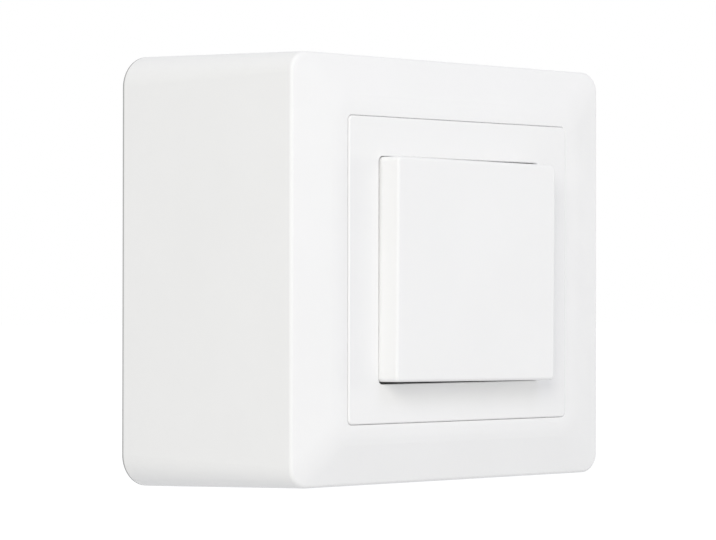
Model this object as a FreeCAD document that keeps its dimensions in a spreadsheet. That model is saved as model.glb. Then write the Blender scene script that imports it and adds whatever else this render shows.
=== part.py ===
import FreeCAD, Part

import math
import os
from types import SimpleNamespace

import Sketcher
from FreeCAD import Placement, Rotation, Vector

# Surface mounted push button light switch, in millimetres and degrees.
# The wall is the plane Y = 0, the front faces -Y, X runs to the right and Z up.
# The origin lies on the wall, midway between the two wall screws.
# A depth is a distance in front of the wall, so a point at depth d has Y = -d.

SIZES = {
    # frame: one deep moulding of four side walls and a sloped front bezel
    "bezel_side": 12.37,
    "bezel_top": 11.97,
    "side_flare": 1.8,
    "top_flare": 2.1,
    "edge_depth": 51.3,
    "bezel_rise": 2.5,
    "front_corner": 4.0,
    "rear_corner": 6.6,
    "edge_round": 0.85,
    "rear_round": 0.35,
    "land_width": 2.5,
    "land_round": 12.0,
    "window_round": 0.25,
    "wall": 2.2,
    "bezel_wall": 2.9,
    "ledge_width": 2.5,
    "ledge_thickness": 1.6,
    "ledge_rim": 0.6,
    "rib_thickness": 1.2,
    "rib_height": 2.0,
    "rib_spread": 22.0,
    "rib_foot": 0.4,
    "rib_root": 0.2,
    "catch_width": 9.0,
    "catch_depth": 0.4,
    "catch_low": 8.0,
    "catch_high": 11.0,
    # centre plate
    "plate_margin": 5.05,
    "plate_corner": 1.0,
    "plate_gap": 0.08,
    "plate_thickness": 2.0,
    "plate_proud": 0.25,
    "plate_round": 0.35,
    "opening_round": 0.25,
    "skirt_thickness": 1.2,
    "skirt_clearance": 0.3,
    "skirt_length": 2.2,
    "collar_thickness": 1.4,
    "collar_length": 2.7,
    "clip_width": 8.0,
    "clip_thickness": 1.3,
    "clip_side_gap": 0.3,
    "clip_tail": 2.3,
    "clip_barb": 1.05,
    "clip_gap": 0.15,
    # button
    "side_border": 8.05,
    "top_border": 8.0,
    "button_taper": 0.1,
    "button_corner": 0.9,
    "button_round": 0.65,
    "button_proud": 5.05,
    "button_side_gap": 0.25,
    "button_top_gap": 0.32,
    "button_wall": 1.6,
    "button_face": 1.8,
    "button_skew": 0.5,
    "button_rib": 1.2,
    "button_rib_height": 2.2,
    "socket_diameter": 9.0,
    "press_travel": 3.0,
    "stop_gap": 0.3,
    # wall base
    "base_clearance": 0.3,
    "base_thickness": 3.0,
    "cable_width": 40.0,
    "cable_height": 26.0,
    "cable_corner": 5.0,
    "cable_rim": 1.8,
    "cable_rim_height": 3.0,
    "wall_screw_spacing": 60.0,
    "wall_slot_width": 4.4,
    "wall_slot_length": 9.0,
    "slot_recess_margin": 2.8,
    "slot_recess_depth": 1.0,
    "screw_margin": 5.0,
    "pillar_diameter": 8.5,
    "pillar_bore_depth": 18.0,
    "gusset_thickness": 1.4,
    "gusset_reach": 6.0,
    "gusset_height": 28.0,
    "hook_width": 8.0,
    "hook_thickness": 1.5,
    "hook_gap": 0.8,
    "hook_barb": 1.05,
    "hook_play": 0.3,
    "hook_tail": 1.3,
    # steel mounting bracket
    "bracket_setback": 4.8,
    "bracket_edge": 5.5,
    "bracket_corner": 5.0,
    "bracket_thickness": 1.2,
    "bracket_play": 0.3,
    "bracket_slot_length": 6.5,
    "bracket_slot_width": 3.6,
    "fold_width": 40.0,
    "fold_length": 3.0,
    "clip_slot_play": 0.5,
    # mechanism housing
    "housing_wall": 4.0,
    "housing_corner": 2.0,
    "terminal_room": 5.2,
    "flange_reach": 3.0,
    "flange_corner": 3.0,
    "flange_thickness": 1.5,
    "barb_width": 8.0,
    "barb_reach": 0.7,
    "barb_length": 3.0,
    "chamber_margin": 2.6,
    "chamber_corner": 1.5,
    "floor_thickness": 1.5,
    "cover_lap": 2.0,
    "cover_clearance": 0.15,
    "cover_thickness": 1.6,
    "collar_wall": 2.0,
    "guide_length": 3.5,
    "cheek_gap": 0.35,
    "cheek_thickness": 2.0,
    "cheek_width": 12.0,
    "cheek_over": 2.5,
    # plunger and its springs
    "plunger_width": 13.0,
    "plunger_height": 15.0,
    "plunger_stand": 2.5,
    "guide_clearance": 0.2,
    "peg_diameter": 6.0,
    "peg_length": 3.2,
    "fit_clearance": 0.03,
    "wing_margin": 0.4,
    "wing_height": 8.0,
    "wing_thickness": 1.8,
    "wing_gap": 0.15,
    "spring_spacing": 21.6,
    "spring_diameter": 4.8,
    "spring_wire": 0.55,
    "spring_turns": 5.0,
    "spring_play": 0.03,
    "spring_length": 8.45,
    "spring_peg_play": 0.35,
    "spring_peg_length": 1.5,
    "post_margin": 0.35,
    # driver, the pendulum that throws the rocker
    "driver_length": 9.5,
    "driver_tip": 1.0,
    "driver_boss": 2.2,
    "driver_root": 1.5,
    "driver_width": 5.0,
    "driver_side_gap": 0.2,
    "driver_rest_angle": 10.0,
    "driver_swing": 10.0,
    "pin_drop": 3.3,
    "pin_diameter": 2.0,
    "pin_inset": 0.3,
    "tip_seat": 0.2,
    # rocker
    "rocker_stand": 7.8,
    "rocker_width": 13.0,
    "rocker_tilt": 8.0,
    "rocker_back": 3.4,
    "rocker_end": 0.1,
    "rocker_shoulder": 1.0,
    "cup_radius": 1.45,
    "cup_depth": 4.4,
    "ridge_rise": 0.6,
    "lip_width": 1.3,
    "shaft_diameter": 3.0,
    "shaft_inset": 0.1,
    "running_clearance": 0.05,
    # contacts and terminals
    "strip_thickness": 0.8,
    "strip_width": 5.0,
    "blade_end": 0.5,
    "blade_corner": 1.0,
    "contact_reach": 8.0,
    "rivet_diameter": 2.6,
    "rivet_bevel": 0.4,
    "rivet_height": 0.7,
    "contact_gap": 0.25,
    "blade_gap": 0.3,
    "peg_reach": 4.4,
    "blade_peg": 1.5,
    "blade_peg_stand": 0.4,
    "strip_margin": 1.0,
    "terminal_reach": 12.2,
    "leg_offset": 3.2,
    "foot_reach": 2.8,
    "common_reach": 13.0,
    "common_end": 2.5,
    "post_width": 4.0,
    "post_thickness": 1.0,
    "post_round": 0.3,
    "slot_play": 0.1,
    "pocket_clearance": 0.75,
    "wire_notch": 4.2,
    "clamp_width": 6.5,
    "clamp_thickness": 1.2,
    "wire_space": 1.3,
    # screws
    "screw_diameter": 3.0,
    "screw_clearance": 0.05,
    "terminal_head": 5.6,
    "terminal_head_height": 1.5,
    "terminal_screw_end": 0.9,
    "bracket_head": 6.6,
    "bracket_head_height": 2.0,
    "bracket_screw_length": 14.0,
    "slot_width": 0.9,
    "slot_depth": 0.8,
}

NEAR = 0.01
BRACKET_SCREW_TURNS = (30, 75)
TERMINAL_SCREW_TURNS = (0, 40, 80)
TO_WALL = Rotation(Vector(1, 0, 0), -90)
TO_FRONT = Rotation(Vector(1, 0, 0), 90)


class Size:
    """A number together with the sheet expression that gives it."""

    def __init__(self, text, number):
        self.text = text
        self.number = number

    def __add__(self, other):
        other = as_size(other)
        return Size(f"({self.text} + {other.text})", self.number + other.number)

    def __radd__(self, other):
        return as_size(other) + self

    def __sub__(self, other):
        other = as_size(other)
        return Size(f"({self.text} - {other.text})", self.number - other.number)

    def __rsub__(self, other):
        return as_size(other) - self

    def __mul__(self, other):
        other = as_size(other)
        return Size(f"({self.text} * {other.text})", self.number * other.number)

    def __rmul__(self, other):
        return as_size(other) * self

    def __truediv__(self, other):
        other = as_size(other)
        return Size(f"({self.text} / {other.text})", self.number / other.number)

    def __neg__(self):
        return Size(f"(0 - {self.text})", -self.number)


def as_size(value):
    if isinstance(value, Size):
        return value
    return Size(str(value), float(value))


def cosine(angle):
    return Size(f"cos({angle.text})", math.cos(math.radians(angle.number)))


def sine(angle):
    return Size(f"sin({angle.text})", math.sin(math.radians(angle.number)))


doc = FreeCAD.newDocument("push_button_switch")
sheet = doc.addObject("Spreadsheet::Sheet", "Sizes")
for row, (name, value) in enumerate(SIZES.items(), 1):
    sheet.set(f"A{row}", name)
    sheet.set(f"B{row}", str(value))
    sheet.setAlias(f"B{row}", name)
doc.recompute()
size = SimpleNamespace(**{name: Size(f"Sizes.{name}", value) for name, value in SIZES.items()})
nodes = {}


# Sketches and features

def new_body(name):
    body = doc.addObject("PartDesign::Body", name)
    body.Label = name
    nodes[name] = body
    return body


def new_sketch(body, name, role="XZ_Plane", offset=None):
    """A sketch on one of the body's own planes; on XZ_Plane the offset is a depth."""
    sketch = body.newObject("Sketcher::SketchObject", f"{body.Name}_{name}")
    plane = next(item for item in body.Origin.OriginFeatures if item.Role == role)
    sketch.AttachmentSupport = [(plane, "")]
    sketch.MapMode = "FlatFace"
    if offset is not None:
        sketch.setExpression("AttachmentOffset.Base.z", as_size(offset).text)
    return sketch


def bind(sketch, constraint, value):
    index = sketch.addConstraint(constraint)
    sketch.setExpression(f"Constraints[{index}]", value.text)


def fix_point(sketch, geometry, end, x, y):
    x = as_size(x)
    y = as_size(y)
    bind(sketch, Sketcher.Constraint("DistanceX", -1, 1, geometry, end, x.number), x)
    bind(sketch, Sketcher.Constraint("DistanceY", -1, 1, geometry, end, y.number), y)


def draw_polygon(sketch, points):
    """A closed outline of straight lines through points given as pairs of sizes."""
    points = [(as_size(x), as_size(y)) for x, y in points]
    first = sketch.GeometryCount
    count = len(points)
    corners = [Vector(x.number, y.number, 0) for x, y in points]
    for index, corner in enumerate(corners):
        sketch.addGeometry(Part.LineSegment(corner, corners[(index + 1) % count]))
    for index in range(count):
        following = first + (index + 1) % count
        sketch.addConstraint(Sketcher.Constraint("Coincident", first + index, 2, following, 1))
    for index, (x, y) in enumerate(points):
        fix_point(sketch, first + index, 1, x, y)


def draw_rectangle(sketch, left, right, low, high):
    draw_polygon(sketch, [(left, low), (right, low), (right, high), (left, high)])


def draw_circle(sketch, x, y, radius):
    x = as_size(x)
    y = as_size(y)
    centre = Vector(x.number, y.number, 0)
    index = sketch.addGeometry(Part.Circle(centre, Vector(0, 0, 1), radius.number))
    fix_point(sketch, index, 3, x, y)
    bind(sketch, Sketcher.Constraint("Radius", index, radius.number), radius)


def draw_rounded_rectangle(sketch, width, height, corner, x=0, y=0):
    """Four lines and four equal tangent arcs, anticlockwise from the lower line."""
    left = as_size(x) - width / 2
    right = as_size(x) + width / 2
    low = as_size(y) - height / 2
    high = as_size(y) + height / 2
    first = sketch.GeometryCount
    reach = corner.number
    inner = [left.number + reach, right.number - reach, low.number + reach, high.number - reach]
    centres = [(inner[1], inner[2]), (inner[1], inner[3]), (inner[0], inner[3]), (inner[0], inner[2])]
    begins = [
        Vector(inner[0], low.number, 0),
        Vector(right.number, inner[2], 0),
        Vector(inner[1], high.number, 0),
        Vector(left.number, inner[3], 0),
    ]
    ends = [
        Vector(inner[1], low.number, 0),
        Vector(right.number, inner[3], 0),
        Vector(inner[0], high.number, 0),
        Vector(left.number, inner[2], 0),
    ]
    for side, (begin, end, centre) in enumerate(zip(begins, ends, centres)):
        sketch.addGeometry(Part.LineSegment(begin, end))
        circle = Part.Circle(Vector(*centre, 0), Vector(0, 0, 1), reach)
        start = math.radians(90 * side - 90)
        sketch.addGeometry(Part.ArcOfCircle(circle, start, start + math.pi / 2))
    for side in range(4):
        line = first + 2 * side
        following = first + 2 * ((side + 1) % 4)
        sketch.addConstraint(Sketcher.Constraint("Tangent", line, 2, line + 1, 1))
        sketch.addConstraint(Sketcher.Constraint("Tangent", line + 1, 2, following, 1))
        sketch.addConstraint(Sketcher.Constraint("Horizontal" if side % 2 == 0 else "Vertical", line))
        if side > 0:
            sketch.addConstraint(Sketcher.Constraint("Equal", first + 1, line + 1))
    bind(sketch, Sketcher.Constraint("Radius", first + 1, corner.number), corner)
    bind(sketch, Sketcher.Constraint("DistanceY", -1, 1, first, 1, low.number), low)
    bind(sketch, Sketcher.Constraint("DistanceX", -1, 1, first + 2, 1, right.number), right)
    bind(sketch, Sketcher.Constraint("DistanceY", -1, 1, first + 4, 1, high.number), high)
    bind(sketch, Sketcher.Constraint("DistanceX", -1, 1, first + 6, 1, left.number), left)


def draw_slot(sketch, x, y, length, width, upright):
    """A slot with round ends, centred on x, y, along the sketch's second axis if upright."""
    x = as_size(x)
    y = as_size(y)
    radius = width / 2
    reach = (length - width) / 2
    along = Vector(0, 1, 0) if upright else Vector(1, 0, 0)
    across = Vector(1, 0, 0) if upright else Vector(0, -1, 0)
    centre = Vector(x.number, y.number, 0)
    far = centre + along * reach.number
    near = centre - along * reach.number
    side = across * radius.number
    first = sketch.GeometryCount
    sketch.addGeometry(Part.LineSegment(near + side, far + side))
    sketch.addGeometry(Part.Arc(far + side, far + along * radius.number, far - side))
    sketch.addGeometry(Part.LineSegment(far - side, near - side))
    sketch.addGeometry(Part.Arc(near - side, near - along * radius.number, near + side))
    for index in range(4):
        following = first + (index + 1) % 4
        sketch.addConstraint(Sketcher.Constraint("Tangent", first + index, 2, following, 1))
    sketch.addConstraint(Sketcher.Constraint("Equal", first + 1, first + 3))
    bind(sketch, Sketcher.Constraint("Radius", first + 1, radius.number), radius)
    if upright:
        fix_point(sketch, first + 1, 3, x, y + reach)
        fix_point(sketch, first + 3, 3, x, y - reach)
    else:
        fix_point(sketch, first + 1, 3, x + reach, y)
        fix_point(sketch, first + 3, 3, x - reach, y)


def finish_feature(body, feature, before, adds):
    """Rebuilds the body and makes sure that the feature did its work."""
    doc.recompute()
    change = body.Shape.Volume - before
    if (change <= 0) if adds else (change >= 0):
        raise ValueError(f"{feature.Name} changes nothing")
    return feature


def volume_of(body):
    doc.recompute()
    return 0.0 if body.Tip is None or body.Shape.isNull() else body.Shape.Volume


def add_prism(body, kind, sketch, length, name, midplane, reverse):
    before = volume_of(body)
    feature = body.newObject(f"PartDesign::{kind}", f"{body.Name}_{name}")
    feature.Profile = sketch
    feature.setExpression("Length", length.text)
    feature.Midplane = midplane
    feature.Reversed = reverse
    return finish_feature(body, feature, before, kind == "Pad")


def add_pad(body, sketch, length, name, midplane=False, reverse=False):
    """A pad; from XZ_Plane it grows to the front, or to the wall if reversed."""
    return add_prism(body, "Pad", sketch, length, name, midplane, reverse)


def add_pocket(body, sketch, length, name, midplane=False, reverse=False):
    """A pocket; from XZ_Plane it cuts towards the wall, or to the front if reversed."""
    return add_prism(body, "Pocket", sketch, length, name, midplane, reverse)


def add_loft(body, first, last, name, cut=False):
    before = volume_of(body)
    kind = "SubtractiveLoft" if cut else "AdditiveLoft"
    feature = body.newObject(f"PartDesign::{kind}", f"{body.Name}_{name}")
    feature.Profile = first
    feature.Sections = [last]
    feature.Ruled = True
    return finish_feature(body, feature, before, not cut)


def add_fillet(body, radius, name, chosen):
    doc.recompute()
    tip = body.Tip
    names = [f"Edge{index}" for index, edge in enumerate(tip.Shape.Edges, 1) if chosen(edge)]
    feature = body.newObject("PartDesign::Fillet", f"{body.Name}_{name}")
    feature.Base = (tip, names)
    feature.setExpression("Radius", radius.text)
    doc.recompute()
    return feature


def lies_at_depth(edge, depth):
    box = edge.BoundBox
    return abs(box.YMin + depth.number) < NEAR and abs(box.YMax + depth.number) < NEAR


def reaches(edge, half_width, half_height):
    """True if the edge comes as far out as one of the two half sizes."""
    box = edge.BoundBox
    wide = max(abs(box.XMin), abs(box.XMax)) > half_width.number - NEAR
    high = max(abs(box.ZMin), abs(box.ZMax)) > half_height.number - NEAR
    return wide or high


def place(item, x=0, depth=0, z=0, axis=Vector(1, 0, 0), angle=0):
    x = as_size(x)
    depth = as_size(depth)
    z = as_size(z)
    angle = as_size(angle)
    item.Placement = Placement(Vector(x.number, -depth.number, z.number), Rotation(axis, angle.number))
    item.setExpression(".Placement.Base.x", x.text)
    item.setExpression(".Placement.Base.y", (-depth).text)
    item.setExpression(".Placement.Base.z", z.text)
    item.setExpression(".Placement.Rotation.Angle", angle.text)


# Sizes and places that several pieces share

# The widths, from the terminals outwards.
leg_reach = size.terminal_reach + size.leg_offset
foot_start = size.terminal_reach - size.foot_reach
pocket_width = size.clamp_width + 2 * size.pocket_clearance
pocket_low = size.terminal_reach - pocket_width / 2
pocket_high = size.terminal_reach + pocket_width / 2
chamber_width = 2 * (leg_reach + size.chamber_margin)
cover_width = chamber_width + 2 * size.cover_lap
housing_width = chamber_width + 2 * size.housing_wall
flange_width = housing_width + 2 * size.flange_reach
bracket_screw_spacing = flange_width + 2 * size.screw_margin
bracket_width = bracket_screw_spacing + 2 * size.bracket_edge
plate_width = flange_width + 2 * size.plate_margin
button_width = plate_width - 2 * size.side_border
button_height = plate_width - 2 * size.top_border
window_width = plate_width + 2 * size.plate_gap
front_width = window_width + 2 * size.bezel_side
front_height = window_width + 2 * size.bezel_top
rear_width = front_width + 2 * size.side_flare
rear_height = front_height + 2 * size.top_flare

# The depths, from the front to the wall.
land_depth = size.edge_depth + size.bezel_rise
plate_front = land_depth + size.plate_proud
plate_back = plate_front - size.plate_thickness
window_corner = size.plate_corner + size.plate_gap
ledge_back = plate_back - size.ledge_thickness
ledge_opening = plate_width - 2 * size.ledge_width
cavity_depth = size.edge_depth - size.bezel_wall
bracket_depth = size.edge_depth - size.bracket_setback
bracket_back = bracket_depth - size.bracket_thickness
flange_front = bracket_depth + size.flange_thickness
cover_back = flange_front - size.cover_thickness
guide_front = flange_front + size.guide_length
button_front = plate_front + size.button_proud
button_roof = button_front - size.button_face
button_skirt_end = flange_front + size.press_travel + size.stop_gap
plunger_front = guide_front + size.plunger_stand
shaft_hole = size.shaft_diameter / 2 + size.fit_clearance
screw_hole = size.screw_diameter / 2 + size.screw_clearance
clip_centre = flange_width / 2 + size.clip_side_gap + size.clip_thickness / 2

# The rocker: at full press the driver's tip sits in the cup of the thrown rocker.
driver_end_angle = size.driver_rest_angle + size.driver_swing
cup_offset = (
    size.driver_length * sine(driver_end_angle) - size.cup_depth * sine(size.rocker_tilt)
) / cosine(size.rocker_tilt)
cup_height = size.cup_depth * cosine(size.rocker_tilt) - cup_offset * sine(size.rocker_tilt)
pin_depth = flange_front - size.pin_drop
tip_end_depth = pin_depth - size.press_travel - size.driver_length * cosine(driver_end_angle)
rocker_depth = tip_end_depth + size.tip_seat - cup_height
floor_depth = rocker_depth - size.rocker_stand
strip_front = floor_depth + size.strip_thickness
pocket_floor = floor_depth - size.floor_thickness
housing_rear = pocket_floor - size.terminal_room

wing_front = cover_back - size.wing_gap
wing_back = wing_front - size.wing_thickness
wing_reach = size.spring_spacing / 2 + size.spring_diameter / 2 + size.wing_margin
post_depth = wing_back - size.spring_length
post_diameter = size.spring_diameter + 2 * size.post_margin
spring_peg = size.spring_diameter - 2 * size.spring_wire - 2 * size.spring_peg_play

# The contacts: where the rivet on the tilted blade comes to rest.
rocker_reach = size.contact_reach + size.rivet_diameter / 2 + size.rocker_end
strip_reach = size.contact_reach + size.rivet_diameter / 2 + size.blade_end
ridge_height = size.cup_depth + size.ridge_rise
blade_face = size.rocker_back + size.strip_thickness + size.rivet_height
contact_z = size.contact_reach * cosine(size.rocker_tilt) - blade_face * sine(size.rocker_tilt)
strip_start = contact_z - size.rivet_diameter / 2 - size.strip_margin
contact_front = (
    rocker_depth
    - blade_face * cosine(size.rocker_tilt)
    - size.contact_reach * sine(size.rocker_tilt)
    - size.contact_gap
)
blade_post_front = rocker_depth - size.rocker_back - size.strip_thickness - size.blade_gap
foot_back = pocket_floor - size.strip_thickness


# The frame

def make_surface_frame():
    body = new_body("surface_frame")
    rear = new_sketch(body, "rear_outline")
    draw_rounded_rectangle(rear, rear_width, rear_height, size.rear_corner)
    edge = new_sketch(body, "edge_outline", offset=size.edge_depth)
    draw_rounded_rectangle(edge, front_width, front_height, size.front_corner)
    add_loft(body, rear, edge, "walls")
    land = new_sketch(body, "land_outline", offset=land_depth)
    land_size = window_width + 2 * size.land_width
    draw_rounded_rectangle(land, land_size, land_size, window_corner + size.land_width)
    add_loft(body, edge, land, "bezel")
    add_fillet(body, size.land_round, "bezel_curve", lambda edge: lies_at_depth(edge, land_depth))
    add_fillet(body, size.edge_round, "front_edge", lambda edge: lies_at_depth(edge, size.edge_depth))
    add_fillet(body, size.rear_round, "rear_edge", lambda edge: lies_at_depth(edge, as_size(0)))

    inside_rear = new_sketch(body, "inside_rear")
    inner_width = rear_width - 2 * size.wall
    inner_height = rear_height - 2 * size.wall
    draw_rounded_rectangle(inside_rear, inner_width, inner_height, size.rear_corner - size.wall)
    inside_edge = new_sketch(body, "inside_edge", offset=cavity_depth)
    edge_width = front_width - 2 * size.wall
    edge_height = front_height - 2 * size.wall
    draw_rounded_rectangle(inside_edge, edge_width, edge_height, size.front_corner - size.wall)
    add_loft(body, inside_rear, inside_edge, "cavity", cut=True)
    inside_land = new_sketch(body, "inside_land", offset=ledge_back)
    rim_width = window_width + 2 * size.ledge_rim
    draw_rounded_rectangle(inside_land, rim_width, rim_width, window_corner + size.ledge_rim)
    add_loft(body, inside_edge, inside_land, "nose_cavity", cut=True)

    window = new_sketch(body, "window", offset=land_depth)
    draw_rounded_rectangle(window, window_width, window_width, window_corner)
    add_pocket(body, window, land_depth - plate_back, "window_recess")
    opening = new_sketch(body, "opening", offset=land_depth)
    draw_rounded_rectangle(opening, ledge_opening, ledge_opening, window_corner)
    add_pocket(body, opening, land_depth - cavity_depth, "ledge_opening")
    outside = window_width / 2 + size.window_round

    def on_window(edge):
        return lies_at_depth(edge, land_depth) and not reaches(edge, outside, outside)

    add_fillet(body, size.window_round, "window_edge", on_window)
    add_frame_ribs(body)
    add_frame_catches(body)
    return body


def add_frame_ribs(body):
    """Two stiffening ribs along each side wall, from behind the base to the bezel."""
    foot = size.base_thickness + size.rib_foot
    sketch = new_sketch(body, "ribs", offset=foot)
    half_rib = size.rib_thickness / 2
    for sign in (-1, 1):
        for place_sign in (-1, 1):
            middle = place_sign * size.rib_spread
            inner = front_width / 2 - size.wall - size.rib_height
            outer = front_width / 2 - size.rib_root
            ends = sorted([sign * inner, sign * outer], key=lambda item: item.number)
            draw_rectangle(sketch, ends[0], ends[1], middle - half_rib, middle + half_rib)
            inner = front_height / 2 - size.wall - size.rib_height
            outer = front_height / 2 - size.rib_root
            ends = sorted([sign * inner, sign * outer], key=lambda item: item.number)
            draw_rectangle(sketch, middle - half_rib, middle + half_rib, ends[0], ends[1])
    add_pad(body, sketch, cavity_depth - foot, "ribs_pad")


def add_frame_catches(body):
    """A shallow recess in each side wall, where a hook of the wall base snaps in."""
    sketch = new_sketch(body, "catches", offset=size.catch_high)
    half = size.catch_width / 2
    inner_x = front_width / 2 - size.wall
    outer_x = rear_width / 2 - size.wall + size.catch_depth
    inner_z = front_height / 2 - size.wall
    outer_z = rear_height / 2 - size.wall + size.catch_depth
    draw_rectangle(sketch, inner_x, outer_x, -half, half)
    draw_rectangle(sketch, -outer_x, -inner_x, -half, half)
    draw_rectangle(sketch, -half, half, inner_z, outer_z)
    draw_rectangle(sketch, -half, half, -outer_z, -inner_z)
    add_pocket(body, sketch, size.catch_high - size.catch_low, "catch_recesses")


# The centre plate

def make_centre_plate():
    body = new_body("centre_plate")
    outline = new_sketch(body, "outline", offset=plate_back)
    draw_rounded_rectangle(outline, plate_width, plate_width, size.plate_corner)
    add_pad(body, outline, size.plate_thickness, "face")
    hole_width = button_width + 2 * size.button_side_gap
    hole_height = button_height + 2 * size.button_top_gap
    hole_corner = size.button_corner + size.button_side_gap

    collar = new_sketch(body, "collar", offset=plate_back)
    collar_reach = 2 * size.collar_thickness
    collar_corner = hole_corner + size.collar_thickness
    draw_rounded_rectangle(collar, hole_width + collar_reach, hole_height + collar_reach, collar_corner)
    add_pad(body, collar, size.collar_length, "button_collar", reverse=True)

    skirt = new_sketch(body, "skirt", offset=plate_back)
    outer = ledge_opening - 2 * size.skirt_clearance
    inner = outer - 2 * size.skirt_thickness
    draw_rounded_rectangle(skirt, outer, outer, window_corner)
    draw_rounded_rectangle(skirt, inner, inner, window_corner)
    add_pad(body, skirt, size.skirt_length, "locating_skirt", reverse=True)

    window = new_sketch(body, "window", offset=plate_front)
    draw_rounded_rectangle(window, hole_width, hole_height, hole_corner)
    add_pocket(body, window, size.plate_thickness + size.collar_length, "button_window")
    add_plate_clips(body)
    inside = plate_width / 2 - size.plate_corner

    def on_rim(edge):
        return lies_at_depth(edge, plate_front) and reaches(edge, inside, inside)

    def on_window(edge):
        return lies_at_depth(edge, plate_front) and not reaches(edge, inside, inside)

    add_fillet(body, size.plate_round, "plate_edge", on_rim)
    add_fillet(body, size.opening_round, "window_edge", on_window)
    return body


def add_plate_clips(body):
    """Two snap arms that go through the bracket and hold on behind it."""
    sketch = new_sketch(body, "clips", role="YZ_Plane")
    low = clip_centre - size.clip_thickness / 2
    high = clip_centre + size.clip_thickness / 2
    catch = bracket_back - size.clip_gap
    tail = catch - size.clip_tail
    for sign in (-1, 1):
        draw_polygon(sketch, [
            (-plate_back, sign * low),
            (-plate_back, sign * high),
            (-catch, sign * high),
            (-catch, sign * (high + size.clip_barb)),
            (-tail, sign * high),
            (-tail, sign * low),
        ])
    add_pad(body, sketch, size.clip_width, "snap_arms", midplane=True)


# The button

def make_push_button():
    body = new_body("push_button")
    root = new_sketch(body, "root", offset=plate_front)
    draw_rounded_rectangle(root, button_width, button_height, size.button_corner)
    face = new_sketch(body, "face", offset=button_front)
    taper = 2 * size.button_taper
    draw_rounded_rectangle(face, button_width - taper, button_height - taper, size.button_corner)
    add_loft(body, root, face, "proud_part")
    add_pad(body, root, plate_front - button_skirt_end, "skirt", reverse=True)
    add_fillet(body, size.button_round, "front_edge", lambda edge: lies_at_depth(edge, button_front))

    hollow = new_sketch(body, "hollow", offset=button_roof)
    inner_width = button_width - taper - 2 * size.button_wall
    inner_height = button_height - taper - 2 * size.button_wall
    draw_rounded_rectangle(hollow, inner_width, inner_height, size.button_corner)
    add_pocket(body, hollow, button_roof - button_skirt_end, "hollow_pocket")

    ribs = new_sketch(body, "ribs", offset=button_roof)
    half_rib = size.button_rib / 2
    reach_x = button_width / 2 - size.button_wall
    reach_z = button_height / 2 - size.button_wall
    draw_polygon(ribs, [
        (-reach_x, -half_rib),
        (-half_rib, -half_rib),
        (-half_rib, -reach_z),
        (half_rib, -reach_z),
        (half_rib, -half_rib),
        (reach_x, -half_rib),
        (reach_x, half_rib),
        (half_rib, half_rib),
        (half_rib, reach_z),
        (-half_rib, reach_z),
        (-half_rib, half_rib),
        (-reach_x, half_rib),
    ])
    add_pad(body, ribs, size.button_rib_height, "cross_ribs", reverse=True)
    socket = new_sketch(body, "socket", offset=button_roof)
    draw_circle(socket, 0, 0, size.socket_diameter / 2)
    add_pad(body, socket, button_roof - plunger_front, "socket_boss", reverse=True)
    bore = new_sketch(body, "socket_bore", offset=plunger_front)
    draw_circle(bore, 0, 0, size.peg_diameter / 2 + size.fit_clearance)
    add_pocket(body, bore, size.peg_length + size.fit_clearance, "socket_hole", reverse=True)
    place(body, axis=Vector(0, 1, 0), angle=size.button_skew)
    return body


# The wall base

def make_wall_base():
    body = new_body("wall_base")
    inset = 2 * (size.wall + size.base_clearance)
    outline = new_sketch(body, "outline")
    corner = size.rear_corner - size.wall - size.base_clearance
    draw_rounded_rectangle(outline, rear_width - inset, rear_height - inset, corner)
    add_pad(body, outline, size.base_thickness, "back_plate")

    rim = new_sketch(body, "cable_rim", offset=size.base_thickness)
    rim_reach = 2 * size.cable_rim
    rim_corner = size.cable_corner + size.cable_rim
    draw_rounded_rectangle(rim, size.cable_width + rim_reach, size.cable_height + rim_reach, rim_corner)
    add_pad(body, rim, size.cable_rim_height, "cable_rim_pad")
    opening = new_sketch(body, "cable_opening")
    draw_rounded_rectangle(opening, size.cable_width, size.cable_height, size.cable_corner)
    rim_top = size.base_thickness + size.cable_rim_height
    add_pocket(body, opening, rim_top, "cable_hole", reverse=True)

    recess = new_sketch(body, "slot_recesses", offset=size.base_thickness)
    recess_width = size.wall_slot_width + 2 * size.slot_recess_margin
    recess_length = size.wall_slot_length + 2 * size.slot_recess_margin
    slots = new_sketch(body, "wall_slots")
    for sign in (-1, 1):
        z = sign * size.wall_screw_spacing / 2
        draw_slot(recess, 0, z, recess_length, recess_width, upright=True)
        draw_slot(slots, 0, z, size.wall_slot_length, size.wall_slot_width, upright=True)
    add_pocket(body, recess, size.slot_recess_depth, "screw_recesses")
    add_pocket(body, slots, size.base_thickness, "screw_slots", reverse=True)

    add_pillars(body)
    add_hooks(body)
    return body


def add_pillars(body):
    """Two hollow screw pillars that carry the bracket, each with two fins."""
    pillars = new_sketch(body, "pillars", offset=size.base_thickness)
    bores = new_sketch(body, "pillar_bores", offset=bracket_back)
    for sign in (-1, 1):
        x = sign * bracket_screw_spacing / 2
        draw_circle(pillars, x, 0, size.pillar_diameter / 2)
        draw_circle(bores, x, 0, screw_hole)
    add_pad(body, pillars, bracket_back - size.base_thickness, "pillars_pad")
    for side, sign in (("left", -1), ("right", 1)):
        fins = new_sketch(body, f"fins_{side}", role="YZ_Plane", offset=sign * bracket_screw_spacing / 2)
        root = size.pillar_diameter / 2 - size.gusset_thickness
        top = size.base_thickness + size.gusset_height
        foot = size.pillar_diameter / 2 + size.gusset_reach
        for up in (-1, 1):
            draw_polygon(fins, [
                (-size.base_thickness, up * root),
                (-size.base_thickness, up * foot),
                (-top, up * size.pillar_diameter / 2),
                (-top, up * root),
            ])
        add_pad(body, fins, size.gusset_thickness, f"fins_{side}_pad", midplane=True)
    add_pocket(body, bores, size.pillar_bore_depth, "screw_bores")


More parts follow.
